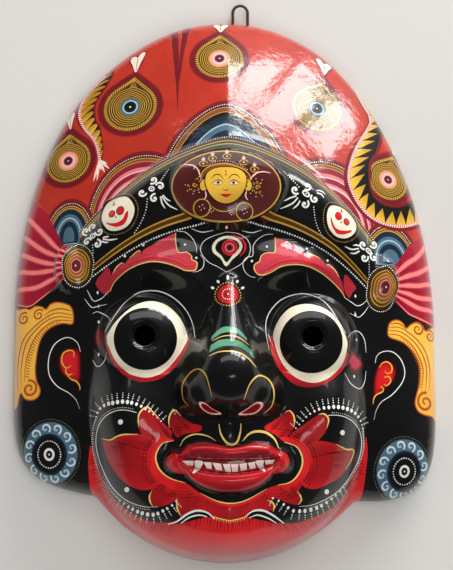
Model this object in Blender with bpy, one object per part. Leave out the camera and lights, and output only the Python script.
"""A hanging mask of a wrathful guardian: one moulded shell with a keeled hood, a raised diadem band,
long side lobes and a bulging face, and a bent wire loop clinched through the top of its rim.

The mask lies on its rim with the face up. +X is the right of the mask as it is looked at, +Y runs
from the chin to the crown and +Z out of the face. Sizes are in metres. The front of the shell is a
height above the rim plane, built up from forms that meet in soft joints; the back is that front
moved inwards by the wall. The shell is then set so that the middle of its box, with the loop, is at
the origin.
"""

import math

import bmesh
import bpy
import numpy as np
from mathutils import Vector
from mathutils.geometry import delaunay_2d_cdt

# Outline of the rim, measured from one centre on the mask's middle line
RIM_HALF_WIDTH = 0.1265
HOOD_RISE = 0.189
HOOD_ROUNDNESS = 2.05
LOBE_DROP = 0.104
LOBE_SQUARENESS = 6.5
JAW_HALF_WIDTH = 0.113
JAW_DROP = 0.141
LEAN = 0.0040

# Shell
WALL = 0.006
RIM_HEIGHT = 0.009
RIM_ROUNDING = 0.006
HOOD_DEPTH = 0.066
LOBE_DEPTH = 0.040
KEEL_FALL = 0.24
KEEL_REACH = 0.050
KEEL_SOFTNESS = 0.0022

# Face, measured from the same centre
FACE_DEPTH = 0.062
FACE_CENTRE_Y = -0.035
FACE_HALF_WIDTH = 0.0875
FACE_RISE = 0.120
FACE_DROP = 0.106
CHIN_KEEL = 0.004

# Diadem band and its boss
BAND_TOP = 0.100
BAND_PEAK_SLOPE = 0.25
BAND_PEAK_SOFTNESS = 0.006
BAND_FOOT = 0.051
BAND_RELIEF = 0.0095
BAND_CREST = 0.070
BOSS_Y = 0.0715
BOSS_HALF_WIDTH = 0.0315
BOSS_HALF_HEIGHT = 0.0215
BOSS_TOP = 0.0760
HUB_X = 0.0895
HUB_Y = 0.0262

# Eyes
EYE_X = 0.0470
EYE_Y = -0.0135
EYE_RADIUS = 0.0238
EYE_BULGE = 0.0175
EYE_TOP = 0.0685
EYE_HOLE_RADIUS = 0.0059
EYE_BEVEL_RADIUS = 0.0083
EYE_BEVEL_DEPTH = 0.0030
SOCKET_DEPTH = 0.013

# Nose and mouth
NOSE_TOP = 0.0925
NOSE_ROOT_Y = 0.020
NOSE_TIP_Y = -0.0365
NOSE_TIP_RADIUS = 0.0175
WING_X = 0.0148
WING_Y = -0.0450
WING_RADIUS = 0.0102
WING_DROP = 0.0130
WING_BULGE = 1.15
MOUTH_Y = -0.0806
MOUTH_HALF_WIDTH = 0.0288
UPPER_LIP = 0.0083
MOUTH_SEAM = 0.0018
TEETH_GAP = 0.0070
LOWER_LIP = 0.0112
LIP_RELIEF = 0.0062
KNOB_X = 0.0300
KNOB_DROP = 0.0022
KNOB_HALF_WIDTH = 0.0080
KNOB_HALF_HEIGHT = 0.0084
KNOB_RELIEF = 0.0052

# Wire loop
WIRE_DIAMETER = 0.0018
WIRE_CLEARANCE = 0.0003
LOOP_X = 0.0090
LOOP_LEG_SPACING = 0.0092
LOOP_STANDOUT = 0.0125
LOOP_HEIGHT = 0.0042
CLINCH_INSET = 0.0135
CLINCH_LENGTH = 0.0065

# Faceting
RIM_SIDES = 116
RIM_RINGS = (0.0, 0.0010, 0.0032, 0.0064)
EYE_SIDES = 26
EYE_RINGS = (0.0054, 0.0090, 0.0128, 0.0166, 0.0204, 0.0236)
FINE_PITCH = 0.0042
COARSE_PITCH = 0.0066
INNER_PITCH = 0.0088
PIN_SIDES = 12


def oval(x, y, centre, half, power=2.0):
    """The size, in shares of half, of the rounded oval about centre that passes through each point."""
    return (np.abs((x - centre[0]) / half[0]) ** power
            + np.abs((y - centre[1]) / half[1]) ** power) ** (1.0 / power)


def smooth_step(low, high, value):
    """0 below low, 1 above high, and a smooth rise between."""
    t = np.clip((value - low) / (high - low), 0.0, 1.0)
    return t * t * (3.0 - 2.0 * t)


def join(first, second, softness):
    """The higher of two heights, rounded where they meet."""
    return 0.5 * (first + second + np.sqrt((first - second) ** 2 + softness ** 2))


def mound(x, y, centre, half, height):
    """A smooth swelling that dies out at the edge of its oval."""
    q = np.minimum(oval(x, y, centre, half), 1.0)
    return height * (1.0 - q * q) ** 2


def ball(x, y, centre, radius, top, bulge=1.0, turn=0.86):
    """A ball's upper side, flattened by bulge, that runs on straight beyond the share turn of its radius."""
    d = np.hypot(x - centre[0], y - centre[1])
    cap = np.sqrt(radius ** 2 - np.minimum(d, turn * radius) ** 2) - radius
    skirt = turn / math.sqrt(1.0 - turn ** 2) * np.maximum(d - turn * radius, 0.0)
    return top + bulge * (cap - skirt)


def rim_radius(angle):
    """Distance from the centre to the rim, in each direction."""
    c, s = np.abs(np.cos(angle)), np.abs(np.sin(angle))

    def reach(half_width, half_height, power):
        return ((c / half_width) ** power + (s / half_height) ** power) ** (-1.0 / power)

    hood = reach(RIM_HALF_WIDTH, HOOD_RISE, HOOD_ROUNDNESS)
    lobes = reach(RIM_HALF_WIDTH, LOBE_DROP, LOBE_SQUARENESS)
    jaw = reach(JAW_HALF_WIDTH, JAW_DROP, 2.0)
    return np.where(np.sin(angle) > 0.0, hood, np.maximum(lobes, jaw))


def hood_and_lobes(x, y, share):
    """A keeled dome above, flatter lobes below. share is 0 at the centre and 1 at the rim."""
    low = smooth_step(0.075, 0.015, y)
    depth = HOOD_DEPTH + (LOBE_DEPTH - HOOD_DEPTH) * low
    power = 2.2 + 0.9 * low
    across = np.sqrt(x * x + KEEL_SOFTNESS ** 2) - KEEL_SOFTNESS
    keel = 1.0 - KEEL_FALL * (1.0 - low) * np.tanh(across / KEEL_REACH)
    return RIM_HEIGHT + depth * (1.0 - share ** power) * keel


def face_dome(x, y):
    """The egg of the face, with its muzzle, cheeks, brows and keeled chin."""
    half_height = np.where(y > FACE_CENTRE_Y, FACE_RISE, FACE_DROP)
    q = np.minimum(oval(x, y, (0.0, FACE_CENTRE_Y), (FACE_HALF_WIDTH, half_height), 2.25), 1.0)
    z = FACE_DEPTH * (1.0 - q ** 5) ** 0.6 - 0.02 * (q > 0.999)
    side = np.abs(x)
    z = z + mound(side, y, (0.060, -0.058), (0.030, 0.032), 0.0085)
    z = z + mound(x, y, (0.0, MOUTH_Y), (0.056, 0.040), 0.0090)
    z = z + mound(x, y, (0.0, -0.122), (0.040, 0.026), 0.0085)
    z = z + mound(side, y, (0.040, 0.031), (0.042, 0.020), 0.0050)
    crease = np.exp(-np.sqrt(x * x + 0.0012 ** 2) / 0.016)
    z = z + CHIN_KEEL * crease * smooth_step(-0.094, -0.112, y) * smooth_step(1.0, 0.86, q)
    fold = np.exp(-((side - 0.028 - 0.32 * (-0.060 - y)) / 0.0050) ** 2)
    return z - 0.0030 * fold * smooth_step(-0.100, -0.080, y) * smooth_step(-0.045, -0.058, y)


def sockets(x, y):
    """Depth of the hollows under the brows."""
    q = np.minimum(oval(np.abs(x), y, (0.0445, -0.0035), (0.0355, 0.0325), 2.2), 1.0)
    return SOCKET_DEPTH * (1.0 - q ** 3) ** 1.4


def band_edges(x):
    """Upper and lower edge of the diadem band at each x."""
    side = np.sqrt(x * x + BAND_PEAK_SOFTNESS ** 2) - BAND_PEAK_SOFTNESS
    top = BAND_TOP - BAND_PEAK_SLOPE * side - 3.08 * x ** 2 - 190.0 * x ** 4
    foot = BAND_FOOT - 4.2 * x ** 2 - 100.0 * x ** 4
    return top, foot


def band(x, y):
    """The diadem band: a roll from hub to hub, with its crest above the middle."""
    top, foot = band_edges(x)
    up = (y - foot) / (top - foot)
    crest = BAND_CREST - 2.6 * x ** 2 - 230.0 * x ** 4
    off = np.where(up > 0.60, (up - 0.60) / 0.40, (0.60 - up) / 0.60)
    return crest - BAND_RELIEF * np.minimum(off, 4.0) ** 2.2


def boss(x, y):
    """The oval boss in the middle of the band."""
    q = oval(x, y, (0.0, BOSS_Y), (BOSS_HALF_WIDTH, BOSS_HALF_HEIGHT), 1.8)
    return BOSS_TOP - 0.0050 * q ** 2 - 0.040 * np.maximum(q - 1.0, 0.0)


def hubs(x, y):
    """The small oval bosses that end the band."""
    q = oval(np.abs(x), y, (HUB_X, HUB_Y), (0.0105, 0.0145))
    return 0.0400 - 0.0040 * q ** 2 - 0.060 * np.maximum(q - 1.0, 0.0)


def eyes(x, y):
    """The bulging eyes, each with a bevel round its hole."""
    side = np.abs(x)
    z = ball(side, y, (EYE_X, EYE_Y), EYE_RADIUS, EYE_TOP, EYE_BULGE / EYE_RADIUS, 0.975)
    off = np.hypot(side - EYE_X, y - EYE_Y) - EYE_HOLE_RADIUS
    inward = 1.0 - off / (EYE_BEVEL_RADIUS - EYE_HOLE_RADIUS)
    return z - EYE_BEVEL_DEPTH * np.clip(inward, 0.0, 1.0)


def nose(x, y):
    """Bridge, ball and wings of the nose, joined."""
    along = (y - NOSE_TIP_Y) / (NOSE_ROOT_Y - NOSE_TIP_Y)
    half = 0.0160 - 0.0085 * smooth_step(-0.2, 1.0, along)
    ridge = NOSE_TOP - 0.0030 - 0.0310 * (np.sqrt(along ** 2 + 0.15 ** 2) - 0.15)
    beyond = 1.2 * np.maximum(y - NOSE_ROOT_Y, 0.0) + 70.0 * np.maximum(NOSE_TIP_Y - y, 0.0) ** 2
    off = np.abs(x) / half
    bridge = ridge - 0.0100 * off ** 2 - 0.030 * np.maximum(off - 1.15, 0.0) - beyond
    tip = ball(x, y, (0.0, NOSE_TIP_Y), NOSE_TIP_RADIUS, NOSE_TOP)
    wings = ball(np.abs(x), y, (WING_X, WING_Y), WING_RADIUS, NOSE_TOP - WING_DROP, WING_BULGE)
    return join(join(bridge, tip, 0.007), wings, 0.006)


def lip_lines(x):
    """The four edges of the two lips from the top down, at each x, and the share of the half width."""
    share = np.minimum(np.abs(x) / MOUTH_HALF_WIDTH, 1.0)
    arch = 1.0 - share ** 2
    bow = 0.0020 * np.exp(-(x / 0.0075) ** 2)
    lower_reach = MOUTH_SEAM + TEETH_GAP
    upper = MOUTH_Y + UPPER_LIP * np.sqrt(1.0 - share ** 4) - bow
    upper_foot = MOUTH_Y - MOUTH_SEAM * arch
    lower_top = MOUTH_Y - lower_reach * arch ** 0.6
    lower = MOUTH_Y - (lower_reach + LOWER_LIP) * (1.0 - share ** 2.6) ** 0.75
    return upper, upper_foot, lower_top, lower, share


def lips(x, y):
    """Relief of the two lips and of the knobs at their corners, with the teeth set back between."""
    upper, upper_foot, lower_top, lower, share = lip_lines(x)
    relief = LIP_RELIEF * smooth_step(1.0, 0.72, share)
    rolls = []
    for top, foot in ((upper, upper_foot), (lower_top, lower)):
        half = np.maximum((top - foot) / 2.0, 0.0004)
        off = (y - (top + foot) / 2.0) / half
        rolls.append(np.sqrt(np.maximum(1.0 - off ** 2, 0.0)))
    gap = (y < upper_foot) & (y > lower_top)
    knob_half = (KNOB_HALF_WIDTH, KNOB_HALF_HEIGHT)
    knobs = mound(np.abs(x), y, (KNOB_X, MOUTH_Y - KNOB_DROP), knob_half, KNOB_RELIEF)
    return relief * np.maximum(rolls[0], rolls[1]) - 0.0015 * gap + knobs


def philtrum(x, y):
    """The small bump under the nose."""
    return mound(x, y, (0.0, -0.0645), (0.0100, 0.0115), 0.0030)


def front(x, y):
    """Height of the shell's front above the rim plane, at points measured from the outline's centre."""
    angle = np.arctan2(y, x)
    reach = rim_radius(angle)
    share = np.minimum(np.hypot(x, y) / reach, 1.0)
    z = face_dome(x, y) - sockets(x, y)
    z = join(z, eyes(x, y), 0.0022)
    z = join(z, nose(x, y), 0.0045) + lips(x, y) + philtrum(x, y)
    z = join(z, hood_and_lobes(x, y, share), 0.0040)
    z = join(z, band(x, y), 0.0016)
    z = join(z, hubs(x, y), 0.0016)
    z = join(z, boss(x, y), 0.0024)
    inset = np.clip((1.0 - share) * reach / RIM_ROUNDING, 0.0, 1.0)
    edge = np.sqrt(1.0 - (1.0 - inset) ** 2)
    return z * np.where(np.hypot(x, y) < reach, edge, 0.0)


def back(x, y):
    """Height of the hollow: the front moved inwards by the wall, as a ball of that radius rolls under it."""
    lowest = front(x, y) - WALL
    for ring in (0.35, 0.7, 0.92, 1.0):
        drop = WALL * math.sqrt(1.0 - ring ** 2)
        for step in range(14):
            turn = 2.0 * math.pi * step / 14
            near = front(x + ring * WALL * math.cos(turn), y + ring * WALL * math.sin(turn))
            lowest = np.minimum(lowest, near - drop)
    return np.maximum(lowest, 0.0)


def leaned(x, y):
    """The hand-made lean of the mask: its right side hangs a little lower than its left."""
    return y - LEAN * np.sign(x) * smooth_step(0.055, 0.110, np.abs(x))


def rim_loop(inset, sides):
    """Points round the rim, moved straight inwards by inset."""
    fine = np.linspace(0.0, 2.0 * math.pi, 4001)
    edge = rim_radius(fine)
    length = np.concatenate(([0.0], np.cumsum(np.hypot(np.diff(edge * np.cos(fine)),
                                                       np.diff(edge * np.sin(fine))))))
    angle = np.interp((np.arange(sides) + 0.5) / sides * length[-1], length, fine)
    reach = rim_radius(angle)
    points = np.stack((reach * np.cos(angle), reach * np.sin(angle)), -1)
    along = np.roll(points, -1, 0) - np.roll(points, 1, 0)
    normal = np.stack((-along[:, 1], along[:, 0]), -1)
    return points + inset * normal / np.linalg.norm(normal, axis=1)[:, None]


def ring_loop(centre, radius, sides):
    """Points round a circle."""
    angle = 2.0 * math.pi * np.arange(sides) / sides
    return np.stack((centre[0] + radius * np.cos(angle), centre[1] + radius * np.sin(angle)), -1)


def grid_points(pitch):
    """A triangular grid over the whole outline."""
    points = []
    row_step = pitch * math.sqrt(3.0) / 2.0
    rows = int(JAW_DROP / row_step) + 1
    for row in range(-rows, int(HOOD_RISE / row_step) + 1):
        offset = pitch / 2.0 if row % 2 else 0.0
        columns = int(RIM_HALF_WIDTH / pitch) + 1
        for column in range(-columns, columns + 1):
            points.append((column * pitch + offset, row * row_step))
    return np.array(points)


def away_from(points, loops, gap):
    """The points that lie at least gap from every point of the loops."""
    taken = np.concatenate(loops)
    near = np.hypot(points[:, None, 0] - taken[None, :, 0], points[:, None, 1] - taken[None, :, 1])
    return points[near.min(1) > gap]


def inside_rim(points, inset):
    """The points that lie inside the rim by more than inset."""
    reach = rim_radius(np.arctan2(points[:, 1], points[:, 0]))
    return points[np.hypot(points[:, 0], points[:, 1]) < reach - inset]


def triangulate(loops, loose):
    """Joins loops and loose points into triangles, inside the first loop and outside the eye holes."""
    points = np.concatenate(loops + [loose])
    edges = []
    start = 0
    for loop in loops:
        count = len(loop)
        edges += [(start + i, start + (i + 1) % count) for i in range(count)]
        start += count
    scale = 1000.0
    made = delaunay_2d_cdt([Vector(p) * scale for p in points], edges, [], 1, 1e-5)
    flat = np.array([tuple(v) for v in made[0]]) / scale
    faces = np.array([tuple(face) for face in made[2]])
    middle = flat[faces].mean(1)
    hole = np.hypot(np.abs(middle[:, 0]) - EYE_X, middle[:, 1] - EYE_Y) < EYE_HOLE_RADIUS * 0.99
    return flat, faces[~hole]


def eye_loops(radii, sides):
    """Rings round both eyes."""
    return [ring_loop((side * EYE_X, EYE_Y), radius, sides) for side in (-1, 1) for radius in radii]


def front_sheet():
    """Flat layout and triangles of the front."""
    rims = [rim_loop(inset, RIM_SIDES) for inset in RIM_RINGS]
    eyes = eye_loops(EYE_RINGS, EYE_SIDES)
    x = np.linspace(-0.078, 0.078, 40)
    top, foot = band_edges(x)
    seams = [np.stack((x, edge), -1) for edge in (top, foot)]
    seams.append(ring_loop((0.0, 0.0), 1.0, 40) * (BOSS_HALF_WIDTH, BOSS_HALF_HEIGHT) + (0.0, BOSS_Y))
    fine = grid_points(FINE_PITCH)
    coarse = grid_points(COARSE_PITCH)
    fine_zone = ((0.0, -0.012), (0.086, 0.128))
    fine = fine[oval(fine[:, 0], fine[:, 1], *fine_zone) < 1.0]
    coarse = coarse[oval(coarse[:, 0], coarse[:, 1], *fine_zone) > 1.03]
    near_eye = np.hypot(np.abs(fine[:, 0]) - EYE_X, fine[:, 1] - EYE_Y) < EYE_RADIUS
    fine = fine[~near_eye]
    seam_points = away_from(np.concatenate(seams), eyes, 0.0012)
    grid = np.concatenate((away_from(fine, eyes + [seam_points], FINE_PITCH * 0.5),
                           away_from(inside_rim(coarse, RIM_RINGS[-1] + 0.002), [seam_points], 0.003)))
    grid = away_from(grid, rims, 0.0022)
    return triangulate(rims + eyes, np.concatenate((grid, seam_points)))


def back_sheet():
    """Flat layout and triangles of the hollow."""
    rims = [rim_loop(WALL + inset, RIM_SIDES) for inset in (0.0, 0.0025)]
    eyes = eye_loops((EYE_HOLE_RADIUS,), EYE_SIDES)
    grid = inside_rim(grid_points(INNER_PITCH), WALL + 0.006)
    grid = away_from(grid, eyes, INNER_PITCH * 0.45)
    return triangulate(rims + eyes, grid)


def is_rim(edge):
    """Whether an open edge lies on the rim and not round an eye."""
    place = edge.verts[0].co
    return math.hypot(abs(place.x) - EYE_X, place.y - EYE_Y) > EYE_RADIUS


def shell_mesh():
    """The closed shell: front, back, and the strips that join them along the rim and round the eye holes."""
    layout, outer_faces = front_sheet()
    inner_layout, inner_faces = back_sheet()
    outer_z = front(layout[:, 0], layout[:, 1])
    inner_z = back(inner_layout[:, 0], inner_layout[:, 1])
    outer_z[:RIM_SIDES] = 0.0
    inner_z[:RIM_SIDES] = 0.0
    mesh = bmesh.new()
    for points, z in ((layout, outer_z), (inner_layout, inner_z)):
        for x, y, height in zip(points[:, 0], leaned(points[:, 0], points[:, 1]), z):
            mesh.verts.new((x, y, height))
    mesh.verts.ensure_lookup_table()
    shift = len(layout)
    for a, b, c in outer_faces.tolist():
        mesh.faces.new((mesh.verts[a], mesh.verts[b], mesh.verts[c]))
    for a, b, c in inner_faces.tolist():
        mesh.faces.new((mesh.verts[shift + c], mesh.verts[shift + b], mesh.verts[shift + a]))
    open_edges = [edge for edge in mesh.edges if edge.is_boundary]
    bmesh.ops.bridge_loops(mesh, edges=[e for e in open_edges if is_rim(e)])
    for side in (-1, 1):
        ring = [e for e in open_edges if not is_rim(e) and e.verts[0].co.x * side > 0.0]
        bmesh.ops.bridge_loops(mesh, edges=ring)
    bmesh.ops.triangulate(mesh, faces=[f for f in mesh.faces if len(f.verts) > 3])
    bmesh.ops.recalc_face_normals(mesh, faces=mesh.faces)
    return mesh


def paint(name, colour, roughness, metallic=0.0):
    """A plain finish."""
    material = bpy.data.materials.new(name)
    material.use_nodes = True
    shader = material.node_tree.nodes["Principled BSDF"]
    shader.inputs["Base Color"].default_value = (*colour, 1.0)
    shader.inputs["Roughness"].default_value = roughness
    shader.inputs["Metallic"].default_value = metallic
    return material


def place(name, data, material):
    """Adds an object to the scene."""
    data.materials.append(material)
    thing = bpy.data.objects.new(name, data)
    bpy.context.scene.collection.objects.link(thing)
    return thing


def leg_xs():
    """Where the two legs of the loop stand."""
    return LOOP_X - LOOP_LEG_SPACING / 2.0, LOOP_X + LOOP_LEG_SPACING / 2.0


def rim_top_y(x):
    """The rim's upper edge at x."""
    return HOOD_RISE * (1.0 - (abs(x) / RIM_HALF_WIDTH) ** HOOD_ROUNDNESS) ** (1.0 / HOOD_ROUNDNESS)


def loop_path():
    """Centre line of the wire: clinched end, leg, arch, leg and clinched end."""
    left, right = leg_xs()
    bend = WIRE_DIAMETER * 1.1
    radius = LOOP_LEG_SPACING / 2.0
    inner_y = rim_top_y(LOOP_X) - CLINCH_INSET
    arch_y = rim_top_y(LOOP_X) + LOOP_STANDOUT - radius - WIRE_DIAMETER / 2.0
    points = [(left - CLINCH_LENGTH, inner_y)]
    points += [(left - bend + bend * math.sin(a), inner_y + bend - bend * math.cos(a))
               for a in np.linspace(0.0, math.pi / 2.0, 5)]
    points += [(LOOP_X - radius * math.cos(a), arch_y + radius * math.sin(a))
               for a in np.linspace(0.0, math.pi, 13)]
    points += [(right + bend - bend * math.cos(a), inner_y + bend - bend * math.sin(a))
               for a in np.linspace(0.0, math.pi / 2.0, 5)]
    points.append((right + CLINCH_LENGTH, inner_y))
    return points


def wire_loop(material):
    """The hanging loop: one bent wire through the rim."""
    curve = bpy.data.curves.new("hanging_loop", "CURVE")
    curve.dimensions = "3D"
    curve.bevel_depth = WIRE_DIAMETER / 2.0
    curve.bevel_resolution = 2
    curve.use_fill_caps = True
    path = loop_path()
    spline = curve.splines.new("POLY")
    spline.points.add(len(path) - 1)
    for point, (x, y) in zip(spline.points, path):
        point.co = (x, y, LOOP_HEIGHT, 1.0)
    return place("hanging_loop", curve, material)


def drill_wire_holes(shell):
    """Two holes through the rim, a clearance wider than the wire."""
    reach = CLINCH_INSET + RIM_ROUNDING
    for number, x in enumerate(leg_xs()):
        data = bpy.data.meshes.new(f"wire_drill_{number}")
        pin = bmesh.new()
        radius = (WIRE_DIAMETER / 2.0 + WIRE_CLEARANCE) / math.cos(math.pi / PIN_SIDES)
        bmesh.ops.create_cone(pin, cap_ends=True, segments=PIN_SIDES, radius1=radius, radius2=radius,
                              depth=reach)
        pin.to_mesh(data)
        pin.free()
        drill = bpy.data.objects.new(data.name, data)
        bpy.context.scene.collection.objects.link(drill)
        drill.rotation_euler = (math.pi / 2.0, 0.0, 0.0)
        drill.location = (x, rim_top_y(LOOP_X) - reach / 2.0 + RIM_ROUNDING / 2.0, LOOP_HEIGHT)
        drill.parent = shell.parent
        drill.hide_render = True
        drill.display_type = "WIRE"
        cut = shell.modifiers.new(data.name, "BOOLEAN")
        cut.operation = "DIFFERENCE"
        cut.solver = "EXACT"
        cut.object = drill


def main():
    for old in list(bpy.data.objects):
        bpy.data.objects.remove(old)
    middle_y = (rim_top_y(LOOP_X) + LOOP_STANDOUT - JAW_DROP) / 2.0
    stand = bpy.data.objects.new("mask_frame", None)
    bpy.context.scene.collection.objects.link(stand)
    stand.location = (0.0, -middle_y, 0.0)
    red_paint = paint("painted_shell", (0.45, 0.04, 0.03), 0.25)
    wire = paint("loop_wire", (0.45, 0.36, 0.26), 0.4, metallic=1.0)
    data = bpy.data.meshes.new("mask_shell")
    shell_body = shell_mesh()
    shell_body.to_mesh(data)
    shell_body.free()
    data.shade_smooth()
    shell = place("mask_shell", data, red_paint)
    shell.parent = stand
    drill_wire_holes(shell)
    wire_loop(wire).parent = stand


main()
